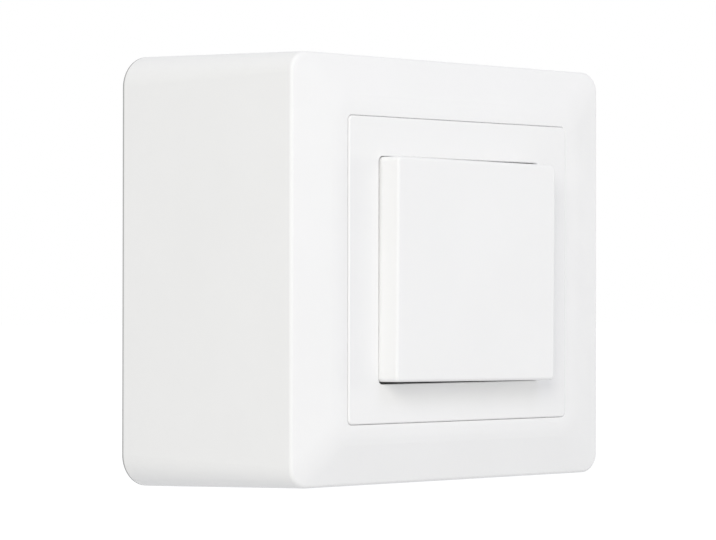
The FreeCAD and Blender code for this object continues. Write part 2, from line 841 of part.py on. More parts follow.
def add_hooks(body):
    """A snap hook for the catch recess of each side wall."""
    barb_low = size.catch_low + size.hook_play
    barb_high = size.catch_high - size.hook_play
    top = barb_high + size.hook_tail
    walls = [
        ("side", "XY_Plane", rear_width / 2 - size.wall - size.hook_gap),
        ("top", "YZ_Plane", rear_height / 2 - size.wall - size.hook_gap),
    ]
    for name, role, face in walls:
        sketch = new_sketch(body, f"{name}_hooks", role=role)
        for sign in (-1, 1):
            outline = [
                (face - size.hook_thickness, size.base_thickness),
                (face, size.base_thickness),
                (face, barb_low),
                (face + size.hook_barb, barb_low),
                (face, barb_high),
                (face, top),
                (face - size.hook_thickness, top),
            ]
            if role == "XY_Plane":
                points = [(sign * out, -depth) for out, depth in outline]
            else:
                points = [(-depth, sign * out) for out, depth in outline]
            draw_polygon(sketch, points)
        add_pad(body, sketch, size.hook_width, f"{name}_hooks_pad", midplane=True)


# The mounting bracket and its screws

def make_mounting_bracket():
    body = new_body("mounting_bracket")
    outline = new_sketch(body, "outline", offset=bracket_back)
    draw_rounded_rectangle(outline, bracket_width, bracket_width, size.bracket_corner)
    add_pad(body, outline, size.bracket_thickness, "ring")
    folds = new_sketch(body, "folds", offset=bracket_back)
    outer = bracket_width / 2
    inner = outer - size.bracket_thickness
    half = size.fold_width / 2
    draw_rectangle(folds, -half, half, inner, outer)
    draw_rectangle(folds, -half, half, -outer, -inner)
    add_pad(body, folds, size.fold_length, "folded_edges", reverse=True)

    cuts = new_sketch(body, "cuts", offset=bracket_depth)
    hole = housing_width + 2 * size.bracket_play
    draw_rounded_rectangle(cuts, hole, hole, size.housing_corner + size.bracket_play)
    clip_length = size.clip_width + 2 * size.clip_slot_play
    clip_height = size.clip_thickness + 2 * size.clip_slot_play
    for sign in (-1, 1):
        x = sign * bracket_screw_spacing / 2
        draw_slot(cuts, x, 0, size.bracket_slot_length, size.bracket_slot_width, upright=False)
        low = sign * clip_centre - clip_height / 2
        draw_rectangle(cuts, -clip_length / 2, clip_length / 2, low, low + clip_height)
    add_pocket(body, cuts, size.bracket_thickness, "openings")
    return body


def make_screw(name, head_diameter, head_height, length):
    """A cheese head screw along Y: the head's underside at 0, the shank towards +Y."""
    shank = doc.addObject("Part::Cylinder", f"{name}_shank")
    shank.setExpression("Radius", (size.screw_diameter / 2).text)
    shank.setExpression("Height", length.text)
    head = doc.addObject("Part::Cylinder", f"{name}_head")
    head.setExpression("Radius", (head_diameter / 2).text)
    head.setExpression("Height", head_height.text)
    head.setExpression(".Placement.Base.z", (-head_height).text)
    joined = doc.addObject("Part::Fuse", f"{name}_joined")
    joined.Base = shank
    joined.Tool = head
    slot = doc.addObject("Part::Box", f"{name}_slot")
    slot.setExpression("Length", head_diameter.text)
    slot.setExpression("Width", size.slot_width.text)
    slot.setExpression("Height", size.slot_depth.text)
    slot.setExpression(".Placement.Base.x", (-head_diameter / 2).text)
    slot.setExpression(".Placement.Base.y", (-size.slot_width / 2).text)
    slot.setExpression(".Placement.Base.z", (-head_height).text)
    screw = doc.addObject("Part::Cut", name)
    screw.Base = joined
    screw.Tool = slot
    return screw


def point(item, direction, x, depth, z, turn=0):
    """Turns a piece made along +Z so that it points to the wall or to the front."""
    x = as_size(x)
    depth = as_size(depth)
    z = as_size(z)
    spin = Rotation(Vector(0, 0, 1), turn)
    item.Placement = Placement(Vector(x.number, -depth.number, z.number), direction.multiply(spin))
    item.setExpression(".Placement.Base.x", x.text)
    item.setExpression(".Placement.Base.y", (-depth).text)
    item.setExpression(".Placement.Base.z", z.text)


def group(name, pieces):
    compound = doc.addObject("Part::Compound", name)
    compound.Links = pieces
    compound.Label = name
    nodes[name] = compound
    return compound


def make_bracket_screws():
    screws = []
    for index, (sign, turn) in enumerate(zip((-1, 1), BRACKET_SCREW_TURNS)):
        screw = make_screw(
            f"bracket_screw_{index}", size.bracket_head, size.bracket_head_height, size.bracket_screw_length
        )
        point(screw, TO_WALL, sign * bracket_screw_spacing / 2, bracket_depth, 0, turn)
        screws.append(screw)
    return group("bracket_screws", screws)


# The mechanism housing and its cover

def make_mechanism_housing():
    body = new_body("mechanism_housing")
    outline = new_sketch(body, "outline", offset=housing_rear)
    draw_rounded_rectangle(outline, housing_width, housing_width, size.housing_corner)
    add_pad(body, outline, flange_front - housing_rear, "box")
    flange = new_sketch(body, "flange", offset=bracket_depth)
    draw_rounded_rectangle(flange, flange_width, flange_width, size.flange_corner)
    add_pad(body, flange, size.flange_thickness, "flange_pad")
    rabbet = new_sketch(body, "rabbet", offset=flange_front)
    draw_rounded_rectangle(rabbet, cover_width, cover_width, size.chamber_corner)
    add_pocket(body, rabbet, size.cover_thickness, "cover_rabbet")
    chamber = new_sketch(body, "chamber", offset=flange_front)
    draw_rounded_rectangle(chamber, chamber_width, chamber_width, size.chamber_corner)
    add_pocket(body, chamber, flange_front - floor_depth, "chamber_pocket")
    add_shaft_cheeks(body)
    add_spring_posts(body)
    add_terminal_pockets(body)
    add_housing_barbs(body)
    return body


def add_shaft_cheeks(body):
    """Two cheeks on the chamber floor that carry the rocker's shaft."""
    cheeks = new_sketch(body, "cheeks", offset=floor_depth)
    inner = size.rocker_width / 2 + size.cheek_gap
    outer = inner + size.cheek_thickness
    half = size.cheek_width / 2
    draw_rectangle(cheeks, inner, outer, -half, half)
    draw_rectangle(cheeks, -outer, -inner, -half, half)
    height = rocker_depth + size.cheek_over - floor_depth
    add_pad(body, cheeks, height, "cheeks_pad")


def add_spring_posts(body):
    posts = new_sketch(body, "posts", offset=floor_depth)
    pegs = new_sketch(body, "post_pegs", offset=post_depth)
    for sign in (-1, 1):
        x = sign * size.spring_spacing / 2
        draw_circle(posts, x, 0, post_diameter / 2)
        draw_circle(pegs, x, 0, spring_peg / 2)
    add_pad(body, posts, post_depth - floor_depth, "posts_pad")
    add_pad(body, pegs, size.spring_peg_length, "post_pegs_pad")
    bore = new_sketch(body, "shaft_bore", role="YZ_Plane")
    draw_circle(bore, -rocker_depth, 0, shaft_hole)
    cheek_end = size.rocker_width / 2 + size.cheek_gap + size.cheek_thickness
    add_pocket(body, bore, 2 * cheek_end, "shaft_hole", midplane=True)


def add_terminal_pockets(body):
    """Three pockets open to the rear, with a notch for the wire and slots in the floor."""
    pockets = new_sketch(body, "terminal_pockets", offset=housing_rear)
    half = pocket_width / 2
    notch = size.wire_notch / 2
    edge = housing_width / 2
    common_wall = size.common_reach + pocket_width / 2
    for sign in (-1, 1):
        draw_polygon(pockets, [
            (-half, sign * pocket_low),
            (half, sign * pocket_low),
            (half, sign * pocket_high),
            (notch, sign * pocket_high),
            (notch, sign * edge),
            (-notch, sign * edge),
            (-notch, sign * pocket_high),
            (-half, sign * pocket_high),
        ])
    draw_polygon(pockets, [
        (half, -half),
        (half, half),
        (-common_wall, half),
        (-common_wall, notch),
        (-edge, notch),
        (-edge, -notch),
        (-common_wall, -notch),
        (-common_wall, -half),
    ])
    add_pocket(body, pockets, pocket_floor - housing_rear, "terminal_pocket", reverse=True)

    slots = new_sketch(body, "floor_slots", offset=floor_depth)
    leg_half = size.strip_width / 2 + size.slot_play
    leg_high = leg_reach + size.slot_play
    leg_low = leg_reach - size.strip_thickness - size.slot_play
    draw_rectangle(slots, -leg_half, leg_half, leg_low, leg_high)
    draw_rectangle(slots, -leg_half, leg_half, -leg_high, -leg_low)
    post_x = size.post_width / 2 + size.slot_play
    post_z = size.post_thickness / 2 + size.slot_play
    draw_rectangle(slots, -post_x, post_x, -post_z, post_z)
    add_pocket(body, slots, size.floor_thickness, "strip_slots")

    holes = new_sketch(body, "screw_ends", offset=pocket_floor)
    for x, z in terminal_places():
        draw_circle(holes, x, z, screw_hole)
    end_room = size.terminal_screw_end + size.slot_play
    add_pocket(body, holes, end_room, "screw_end_holes", reverse=True)


def terminal_places():
    """The axes of the three terminal screws: upper, lower and common."""
    return [(0, size.terminal_reach), (0, -size.terminal_reach), (-size.common_reach, 0)]


def add_housing_barbs(body):
    """Two wedges that snap in behind the bracket."""
    sketch = new_sketch(body, "barbs", role="XY_Plane")
    side = housing_width / 2
    root = side - size.barb_reach
    catch = bracket_back - size.clip_gap
    for sign in (-1, 1):
        draw_polygon(sketch, [
            (sign * root, -catch),
            (sign * (side + size.barb_reach), -catch),
            (sign * side, -(catch - size.barb_length)),
            (sign * root, -(catch - size.barb_length)),
        ])
    add_pad(body, sketch, size.barb_width, "barbs_pad", midplane=True)


def make_housing_cover():
    body = new_body("housing_cover")
    outline = new_sketch(body, "outline", offset=cover_back)
    width = cover_width - 2 * size.cover_clearance
    draw_rounded_rectangle(outline, width, width, size.chamber_corner)
    add_pad(body, outline, size.cover_thickness, "lid")
    guide = new_sketch(body, "guide", offset=flange_front)
    hole_width = size.plunger_width + 2 * size.guide_clearance
    hole_height = size.plunger_height + 2 * size.guide_clearance
    outer_width = hole_width + 2 * size.collar_wall
    outer_height = hole_height + 2 * size.collar_wall
    draw_rounded_rectangle(guide, outer_width, outer_height, size.chamber_corner)
    add_pad(body, guide, size.guide_length, "guide_collar")
    hole = new_sketch(body, "guide_hole", offset=guide_front)
    draw_rectangle(hole, -hole_width / 2, hole_width / 2, -hole_height / 2, hole_height / 2)
    add_pocket(body, hole, size.guide_length + size.cover_thickness, "guide_opening")
    return body


# The plunger and what it carries

def make_plunger():
    body = new_body("plunger")
    tail = pin_depth - size.driver_boss
    half_width = size.plunger_width / 2
    half_height = size.plunger_height / 2
    block = new_sketch(body, "block", offset=tail)
    draw_rectangle(block, -half_width, half_width, -half_height, half_height)
    add_pad(body, block, plunger_front - tail, "slide")
    peg = new_sketch(body, "peg", offset=plunger_front)
    draw_circle(peg, 0, 0, size.peg_diameter / 2)
    add_pad(body, peg, size.peg_length, "button_peg")
    wings = new_sketch(body, "wings", offset=wing_back)
    draw_rectangle(wings, -wing_reach, wing_reach, -size.wing_height / 2, size.wing_height / 2)
    add_pad(body, wings, size.wing_thickness, "wings_pad")
    pegs = new_sketch(body, "spring_pegs", offset=wing_back)
    for sign in (-1, 1):
        draw_circle(pegs, sign * size.spring_spacing / 2, 0, spring_peg / 2)
    add_pad(body, pegs, size.spring_peg_length, "spring_pegs_pad", reverse=True)

    fork = new_sketch(body, "fork", offset=tail)
    gap = size.driver_width / 2 + size.driver_side_gap
    draw_rectangle(fork, -gap, gap, -size.plunger_height, size.plunger_height)
    add_pocket(body, fork, 2 * size.driver_boss + size.tip_seat, "driver_slot", reverse=True)
    bore = new_sketch(body, "pin_bore", role="YZ_Plane")
    draw_circle(bore, -pin_depth, 0, size.pin_diameter / 2 + size.fit_clearance)
    add_pocket(body, bore, size.plunger_width, "pin_hole", midplane=True)
    return body


def make_pin(name, diameter, length, depth):
    """A round pin along X, through the middle of the switch."""
    pin = doc.addObject("Part::Cylinder", name)
    pin.Label = name
    pin.setExpression("Radius", (diameter / 2).text)
    pin.setExpression("Height", length.text)
    pin.Placement = Placement(Vector(0, 0, 0), Rotation(Vector(0, 1, 0), 90))
    pin.setExpression(".Placement.Base.x", (-length / 2).text)
    pin.setExpression(".Placement.Base.y", (-depth).text)
    nodes[name] = pin
    return pin


def make_driver_arm():
    """The pendulum, made pointing at the wall and then hung at its rest angle."""
    body = new_body("driver_arm")
    boss = new_sketch(body, "boss", role="YZ_Plane")
    draw_circle(boss, 0, 0, size.driver_boss)
    add_pad(body, boss, size.driver_width, "boss_pad", midplane=True)
    arm = new_sketch(body, "arm", role="YZ_Plane")
    draw_polygon(arm, [
        (0, -size.driver_root),
        (size.driver_length, -size.driver_tip),
        (size.driver_length, size.driver_tip),
        (0, size.driver_root),
    ])
    add_pad(body, arm, size.driver_width, "arm_pad", midplane=True)
    tip = new_sketch(body, "tip", role="YZ_Plane")
    draw_circle(tip, size.driver_length, 0, size.driver_tip)
    add_pad(body, tip, size.driver_width, "tip_pad", midplane=True)
    bore = new_sketch(body, "bore", role="YZ_Plane")
    draw_circle(bore, 0, 0, size.pin_diameter / 2 + size.running_clearance)
    add_pocket(body, bore, size.driver_width, "bore_hole", midplane=True)
    place(body, depth=pin_depth, angle=size.driver_rest_angle)
    return body


def make_return_spring(side, sign):
    """A coil spring along Y, from the housing's post to the plunger's wing."""
    body = new_body(f"return_spring_{side}")
    mean = (size.spring_diameter - size.spring_wire) / 2
    wire = new_sketch(body, "wire", role="XY_Plane")
    draw_circle(wire, mean, size.spring_wire / 2 + size.spring_play, size.spring_wire / 2)
    doc.recompute()
    coil = body.newObject("PartDesign::AdditiveHelix", f"{body.Name}_coil")
    coil.Profile = wire
    coil.ReferenceAxis = (wire, ["V_Axis"])
    coil.Mode = "height-turns-angle"
    length = wing_back - post_depth
    coil.setExpression("Height", (length - size.spring_wire - 2 * size.spring_play).text)
    coil.setExpression("Turns", size.spring_turns.text)
    doc.recompute()
    place(body, x=sign * size.spring_spacing / 2, depth=wing_back)
    return body


# The rocker and the contacts

def make_contact_rocker():
    """The rocker, made level about its shaft and then tipped to its rest side."""
    body = new_body("contact_rocker")
    lip = cup_offset + size.cup_radius + size.lip_width
    valley = cup_offset - size.cup_radius
    profile = new_sketch(body, "profile", role="YZ_Plane")
    draw_polygon(profile, [
        (size.rocker_back, -rocker_reach),
        (size.rocker_back, rocker_reach),
        (-size.rocker_shoulder, rocker_reach),
        (-size.cup_depth, lip),
        (-size.cup_depth, valley),
        (-ridge_height, 0),
        (-size.cup_depth, -valley),
        (-size.cup_depth, -lip),
        (-size.rocker_shoulder, -rocker_reach),
    ])
    add_pad(body, profile, size.rocker_width, "block", midplane=True)
    cuts = new_sketch(body, "cups", role="YZ_Plane")
    for sign in (-1, 1):
        draw_circle(cuts, -size.cup_depth, sign * cup_offset, size.cup_radius)
    add_pocket(body, cuts, size.rocker_width, "cup_grooves", midplane=True)
    bore = new_sketch(body, "bore", role="YZ_Plane")
    draw_circle(bore, 0, 0, size.shaft_diameter / 2 + size.running_clearance)
    add_pocket(body, bore, size.rocker_width, "bore_hole", midplane=True)
    pegs = new_sketch(body, "pegs", offset=-size.rocker_back)
    for sign in (-1, 1):
        draw_circle(pegs, 0, sign * size.peg_reach, size.blade_peg / 2)
    add_pad(body, pegs, size.strip_thickness + size.blade_peg_stand, "blade_pegs", reverse=True)
    place(body, depth=rocker_depth, angle=size.rocker_tilt)
    return body


def make_moving_contact():
    body = new_body("moving_contact")
    outline = new_sketch(body, "outline", offset=-size.rocker_back)
    draw_rounded_rectangle(outline, size.strip_width, 2 * strip_reach, size.blade_corner)
    for sign in (-1, 1):
        draw_circle(outline, 0, sign * size.peg_reach, size.blade_peg / 2 + size.screw_clearance)
    add_pad(body, outline, size.strip_thickness, "blade", reverse=True)
    place(body, depth=rocker_depth, angle=size.rocker_tilt)
    return body


def make_rivet(name, height):
    """A contact rivet's head along +Z, with a rounded rim."""
    disc = doc.addObject("Part::Cylinder", f"{name}_disc")
    disc.setExpression("Radius", (size.rivet_diameter / 2).text)
    disc.setExpression("Height", (height / 2).text)
    dome = doc.addObject("Part::Cone", f"{name}_dome")
    dome.setExpression("Radius1", (size.rivet_diameter / 2).text)
    dome.setExpression("Radius2", (size.rivet_diameter / 2 - size.rivet_bevel).text)
    dome.setExpression("Height", (height / 2).text)
    dome.setExpression(".Placement.Base.z", (height / 2).text)
    rivet = doc.addObject("Part::Fuse", name)
    rivet.Base = disc
    rivet.Tool = dome
    return rivet


def make_moving_rivets():
    """The two rivets of the blade, tipped with the rocker."""
    back = size.rocker_back + size.strip_thickness
    rivets = []
    for index, sign in enumerate((-1, 1)):
        rivet = make_rivet(f"moving_rivet_{index}", size.rivet_height)
        point(rivet, TO_WALL, 0, -back, sign * size.contact_reach)
        rivets.append(rivet)
    compound = group("moving_rivets", rivets)
    place(compound, depth=rocker_depth, angle=size.rocker_tilt)
    return compound


def make_fixed_rivets():
    rivets = []
    for index, sign in enumerate((-1, 1)):
        rivet = make_rivet(f"fixed_rivet_{index}", contact_front - strip_front)
        point(rivet, TO_FRONT, 0, strip_front, sign * contact_z)
        rivets.append(rivet)
    return group("fixed_rivets", rivets)


def make_side_terminal(name, sign):
    """A bent strip: contact arm on the chamber floor, leg through it and screw foot behind."""
    body = new_body(name)
    profile = new_sketch(body, "profile", role="YZ_Plane")
    leg = leg_reach - size.strip_thickness
    draw_polygon(profile, [
        (-strip_front, sign * strip_start),
        (-strip_front, sign * leg_reach),
        (-foot_back, sign * leg_reach),
        (-foot_back, sign * foot_start),
        (-pocket_floor, sign * foot_start),
        (-pocket_floor, sign * leg),
        (-floor_depth, sign * leg),
        (-floor_depth, sign * strip_start),
    ])
    add_pad(body, profile, size.strip_width, "strip", midplane=True)
    hole = new_sketch(body, "screw_hole", offset=foot_back)
    draw_circle(hole, 0, sign * size.terminal_reach, screw_hole)
    add_pocket(body, hole, size.strip_thickness, "tapped_hole", reverse=True)
    return body


def make_common_terminal():
    """The common strip, with a post that touches the blade's middle."""
    body = new_body("common_terminal")
    foot = new_sketch(body, "foot", offset=foot_back)
    half = size.strip_width / 2
    far = size.common_reach + size.clamp_width / 2
    draw_rectangle(foot, -far, size.common_end, -half, half)
    add_pad(body, foot, size.strip_thickness, "foot_strip")
    post = new_sketch(body, "post", offset=foot_back)
    post_x = size.post_width / 2
    post_z = size.post_thickness / 2
    draw_rectangle(post, -post_x, post_x, -post_z, post_z)
    add_pad(body, post, blade_post_front - foot_back, "blade_post")
    hole = new_sketch(body, "screw_hole", offset=foot_back)
    draw_circle(hole, -size.common_reach, 0, screw_hole)
    add_pocket(body, hole, size.strip_thickness, "tapped_hole", reverse=True)
    add_fillet(body, size.post_round, "post_tip", lambda edge: lies_at_depth(edge, blade_post_front))
    return body


def make_terminal_screws():
    clamp_back = foot_back - size.wire_space - size.clamp_thickness
    length = size.clamp_thickness + size.wire_space + size.strip_thickness + size.terminal_screw_end
    screws = []
    for index, ((x, z), turn) in enumerate(zip(terminal_places(), TERMINAL_SCREW_TURNS)):
        screw = make_screw(f"terminal_screw_{index}", size.terminal_head, size.terminal_head_height, length)
        point(screw, TO_FRONT, x, clamp_back, z, turn)
        screws.append(screw)
    return group("terminal_screws", screws)


def make_terminal_clamps():
    clamp_back = foot_back - size.wire_space - size.clamp_thickness
    clamps = []
    for index, (x, z) in enumerate(terminal_places()):
        plate = doc.addObject("Part::Box", f"clamp_plate_{index}")
        plate.setExpression("Length", size.clamp_width.text)
        plate.setExpression("Width", size.clamp_width.text)
        plate.setExpression("Height", size.clamp_thickness.text)
        plate.setExpression(".Placement.Base.x", (-size.clamp_width / 2).text)
        plate.setExpression(".Placement.Base.y", (-size.clamp_width / 2).text)
        hole = doc.addObject("Part::Cylinder", f"clamp_hole_{index}")
        hole.setExpression("Radius", screw_hole.text)
        hole.setExpression("Height", size.clamp_thickness.text)
        clamp = doc.addObject("Part::Cut", f"clamp_{index}")
        clamp.Base = plate
        clamp.Tool = hole
        point(clamp, TO_FRONT, x, clamp_back, z)
        clamps.append(clamp)
    return group("terminal_clamps", clamps)


# Building the switch

make_surface_frame()
make_centre_plate()
make_push_button()
make_wall_base()
make_mounting_bracket()
make_bracket_screws()
make_mechanism_housing()
make_housing_cover()
make_plunger()
make_pin("driver_pin", size.pin_diameter, size.plunger_width - 2 * size.pin_inset, pin_depth)
make_driver_arm()
make_return_spring("left", -1)
make_return_spring("right", 1)
make_contact_rocker()
shaft_length = size.rocker_width + 2 * (size.cheek_gap + size.cheek_thickness - size.shaft_inset)
make_pin("rocker_shaft", size.shaft_diameter, shaft_length, rocker_depth)
make_moving_contact()
make_moving_rivets()
make_fixed_rivets()
make_side_terminal("upper_terminal", 1)
make_side_terminal("lower_terminal", -1)
make_common_terminal()
make_terminal_screws()
make_terminal_clamps()
doc.recompute()

for item in doc.Objects:
    if "Invalid" in item.State or "Error" in item.State:
        raise RuntimeError(f"{item.Name} failed: {item.State}")
for name, item in nodes.items():
    if item.Shape.isNull() or not item.Shape.isValid():
        raise RuntimeError(f"{name} has no valid shape")

os.makedirs("parts", exist_ok=True)
for name, item in nodes.items():
    item.Shape.exportStep(f"parts/{name}.step")
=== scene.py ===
import math

import bpy
from mathutils import Matrix, Vector


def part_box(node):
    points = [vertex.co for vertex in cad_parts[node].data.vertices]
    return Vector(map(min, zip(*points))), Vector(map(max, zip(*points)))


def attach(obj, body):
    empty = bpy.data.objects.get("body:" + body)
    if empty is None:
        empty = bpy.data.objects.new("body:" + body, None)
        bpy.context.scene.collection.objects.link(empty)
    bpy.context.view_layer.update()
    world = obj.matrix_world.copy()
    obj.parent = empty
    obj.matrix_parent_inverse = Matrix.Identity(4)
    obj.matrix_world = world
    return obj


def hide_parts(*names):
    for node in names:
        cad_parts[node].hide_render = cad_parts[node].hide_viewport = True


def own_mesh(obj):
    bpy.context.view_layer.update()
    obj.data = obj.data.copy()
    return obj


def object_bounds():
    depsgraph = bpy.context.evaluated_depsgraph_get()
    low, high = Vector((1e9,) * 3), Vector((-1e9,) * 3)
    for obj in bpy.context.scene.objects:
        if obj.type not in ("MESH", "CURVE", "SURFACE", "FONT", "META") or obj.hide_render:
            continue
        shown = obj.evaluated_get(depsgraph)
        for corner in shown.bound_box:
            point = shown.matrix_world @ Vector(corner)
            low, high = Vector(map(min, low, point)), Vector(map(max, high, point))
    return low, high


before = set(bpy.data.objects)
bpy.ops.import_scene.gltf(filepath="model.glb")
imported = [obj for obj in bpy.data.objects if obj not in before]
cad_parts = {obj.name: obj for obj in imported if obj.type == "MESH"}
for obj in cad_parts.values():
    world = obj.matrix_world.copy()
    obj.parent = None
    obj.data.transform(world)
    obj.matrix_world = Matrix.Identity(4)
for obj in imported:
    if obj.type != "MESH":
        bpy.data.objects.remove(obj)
cad_low, cad_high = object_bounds()
scene = bpy.context.scene

# The look of a push button light switch: finishes, coils, light and camera, in metres around the fixed model.

MM = 0.001

# Camera, found from the photograph's straight edges
IMAGE_WIDTH = 716
SENSOR_WIDTH = 36.0
FOCAL_PIXELS = 2797.8
CAMERA_YAW = math.radians(41.766)
CAMERA_PITCH = math.radians(0.549)
CAMERA_ROLL = math.radians(0.072)
CAMERA_DISTANCE = 563.8 * MM
CAMERA_SIDE = -18.88 * MM
CAMERA_HEIGHT = -5.21 * MM
BEZEL_EDGE_DEPTH = 51.3 * MM
CLIP_START = 10 * MM
CLIP_END = 50


def make_camera():
    """The camera looks along yaw and pitch at the middle of the plane where the bezel begins."""
    right = Vector((math.cos(CAMERA_YAW), -math.sin(CAMERA_YAW), 0))
    ahead = Vector((math.sin(CAMERA_YAW), math.cos(CAMERA_YAW), 0))
    up = Vector((0, 0, 1))
    middle = Vector((0, -BEZEL_EDGE_DEPTH, 0))
    place = middle - ahead * CAMERA_DISTANCE + right * CAMERA_SIDE + up * CAMERA_HEIGHT
    view = ahead * math.cos(CAMERA_PITCH) + up * math.sin(CAMERA_PITCH)
    above = up * math.cos(CAMERA_PITCH) - ahead * math.sin(CAMERA_PITCH)
    x_axis = right * math.cos(CAMERA_ROLL) + above * math.sin(CAMERA_ROLL)
    y_axis = above * math.cos(CAMERA_ROLL) - right * math.sin(CAMERA_ROLL)
    data = bpy.data.cameras.new("camera")
    data.sensor_width = SENSOR_WIDTH
    data.lens = FOCAL_PIXELS / IMAGE_WIDTH * SENSOR_WIDTH
    data.clip_start = CLIP_START
    data.clip_end = CLIP_END
    camera = bpy.data.objects.new("camera", data)
    turn = Matrix((x_axis, y_axis, -view)).transposed().to_4x4()
    camera.matrix_world = Matrix.Translation(place) @ turn
    scene.collection.objects.link(camera)
    scene.camera = camera


# Light

AMBIENT = 0.592
AMBIENT_COLOUR = (0.97, 0.98, 1.0)
LAMPS = {
    # name: (direction from the switch, distance, width, power in watts, colour)
    "key": ((-0.75, -0.62, 0.45), 1.3, 0.8, 6.65, (1.0, 0.98, 0.915)),
    "above": ((0.0, -0.72, 0.7), 1.3, 0.6, 1.86, (0.78, 0.8, 1.0)),
    "right": ((1.0, -0.45, 0.1), 1.3, 0.4, 1.68, (1.0, 0.97, 0.88)),
}


# White plastic passes light on many times inside the narrow gaps between its pieces.
DIFFUSE_BOUNCES = 16
ALL_BOUNCES = 20


def make_lamps():
    for name, (direction, distance, width, power, colour) in LAMPS.items():
        data = bpy.data.lights.new(name, "AREA")
        data.shape = "DISK"
        data.size = width
        data.energy = power
        data.color = colour
        lamp = bpy.data.objects.new(name, data)
        aim = Vector(direction).normalized()
        lamp.rotation_mode = "QUATERNION"
        lamp.rotation_quaternion = aim.to_track_quat("Z", "Y")
        lamp.location = aim * distance + Vector((0, -BEZEL_EDGE_DEPTH / 2, 0))
        scene.collection.objects.link(lamp)


class Graph:
    """A node tree with short ways to add nodes and join their sockets."""

    def __init__(self, tree):
        self.tree = tree
        self.tree.nodes.clear()

    def feed(self, socket, value):
        """Joins a socket to another one, or sets it to a number, a vector or a colour."""
        if isinstance(value, bpy.types.NodeSocket):
            self.tree.links.new(value, socket)
        elif socket.type == "RGBA":
            socket.default_value = (*value[:3], 1)
        else:
            socket.default_value = value

    def add(self, kind, settings=None, **inputs):
        node = self.tree.nodes.new(kind)
        for name, value in (settings or {}).items():
            setattr(node, name, value)
        for name, value in inputs.items():
            self.feed(node.inputs[name.replace("_", " ")], value)
        return node

    def math(self, operation, *values):
        node = self.add("ShaderNodeMath", {"operation": operation})
        for socket, value in zip(node.inputs, values):
            self.feed(socket, value)
        return node.outputs[0]

    def between(self, share, low, high):
        """A number or colour that goes from low to high with share."""
        kind = "FLOAT" if isinstance(high, float) else "RGBA"
        node = self.add("ShaderNodeMix", {"data_type": kind}, Factor=share)
        ends = {s.identifier: s for s in node.inputs}
        ending = "Float" if kind == "FLOAT" else "Color"
        self.feed(ends[f"A_{ending}"], low)
        self.feed(ends[f"B_{ending}"], high)
        return next(s for s in node.outputs if s.identifier.endswith(ending))


def seen_rays(graph):
    """1 for rays that come from the camera or by way of a mirror or glass, and 0 for scattered light."""
    path = graph.add("ShaderNodeLightPath")
    mirror = graph.math("MAXIMUM", path.outputs["Is Glossy Ray"], path.outputs["Is Transmission Ray"])
    return graph.math("MAXIMUM", path.outputs["Is Camera Ray"], mirror)


def make_world():
    """White where it is seen, and a softer, slightly cool light on the object."""
    world = bpy.data.worlds.new("white_studio")
    scene.world = world
    world.use_nodes = True
    graph = Graph(world.node_tree)
    seen = seen_rays(graph)
    level = graph.between(seen, AMBIENT, 1.0)
    colour = graph.between(seen, AMBIENT_COLOUR, (1, 1, 1))
    background = graph.add("ShaderNodeBackground", Color=colour, Strength=level)
    graph.add("ShaderNodeOutputWorld", Surface=background.outputs[0])


FLOOR_REACH = 12.0
FLOOR_DROP = 120 * MM
FLOOR_WHITE = (0.85, 0.85, 0.85)
FLOOR_SHADE = (0.75, 0.75, 0.75)
# The glow makes up for what the light on the floor lacks of white, below the switch and far away from it.
FLOOR_GLOW_BELOW = 0.425
FLOOR_GLOW_AWAY = 0.6
FLOOR_BELOW_REACH = 0.5
FLOOR_AWAY_REACH = 1.1


def make_floor():
    """A white floor well below the switch, white like the background but for the switch's shadow."""
    mesh = bpy.data.meshes.new("floor")
    height = cad_low.z - FLOOR_DROP
    corners = [(-1, -1), (1, -1), (1, 1), (-1, 1)]
    points = [(x * FLOOR_REACH, y * FLOOR_REACH, height) for x, y in corners]
    mesh.from_pydata(points, [], [(0, 1, 2, 3)])
    floor = bpy.data.objects.new("floor", mesh)
    scene.collection.objects.link(floor)
    material = bpy.data.materials.new("white_floor")
    material.use_nodes = True
    graph = Graph(material.node_tree)
    seen = seen_rays(graph)
    colour = graph.between(seen, FLOOR_WHITE, FLOOR_SHADE)
    place = graph.add("ShaderNodeTexCoord").outputs["Object"]
    reach = graph.add("ShaderNodeVectorMath", {"operation": "LENGTH"}, Vector=place).outputs["Value"]
    away = ramp(graph, reach, FLOOR_BELOW_REACH, FLOOR_AWAY_REACH)
    glow = graph.math("MULTIPLY", seen, graph.between(away, FLOOR_GLOW_BELOW, FLOOR_GLOW_AWAY))
    diffuse = graph.add("ShaderNodeBsdfDiffuse", Color=colour)
    emission = graph.add("ShaderNodeEmission", Strength=glow)
    both = graph.add("ShaderNodeAddShader")
    graph.tree.links.new(diffuse.outputs[0], both.inputs[0])
    graph.tree.links.new(emission.outputs[0], both.inputs[1])
    graph.add("ShaderNodeOutputMaterial", Surface=both.outputs[0])
    mesh.materials.append(material)


# Finishes


def new_finish(name):
    material = bpy.data.materials.new(name)
    material.use_nodes = True
    return material, Graph(material.node_tree)


def object_noise(graph, size, detail=2.0, stretch=(1, 1, 1)):
    """Noise with features of about that size in metres, fixed to the object."""
    place = graph.add("ShaderNodeTexCoord").outputs["Object"]
    scaled = graph.add("ShaderNodeMapping", Vector=place, Scale=stretch)
    noise = graph.add("ShaderNodeTexNoise", Vector=scaled.outputs[0], Scale=1 / size, Detail=detail)
    return noise.outputs["Fac"]


NOISE_LOW = 0.3
NOISE_HIGH = 0.7


def spread(graph, value, low, high):
    """Stretches noise, which keeps near a half, to the range from low to high."""
    node = graph.add("ShaderNodeMapRange", {"clamp": True}, Value=value)
    node.inputs["From Min"].default_value = NOISE_LOW
    node.inputs["From Max"].default_value = NOISE_HIGH
    node.inputs["To Min"].default_value = low
    node.inputs["To Max"].default_value = high
    return node.outputs["Result"]


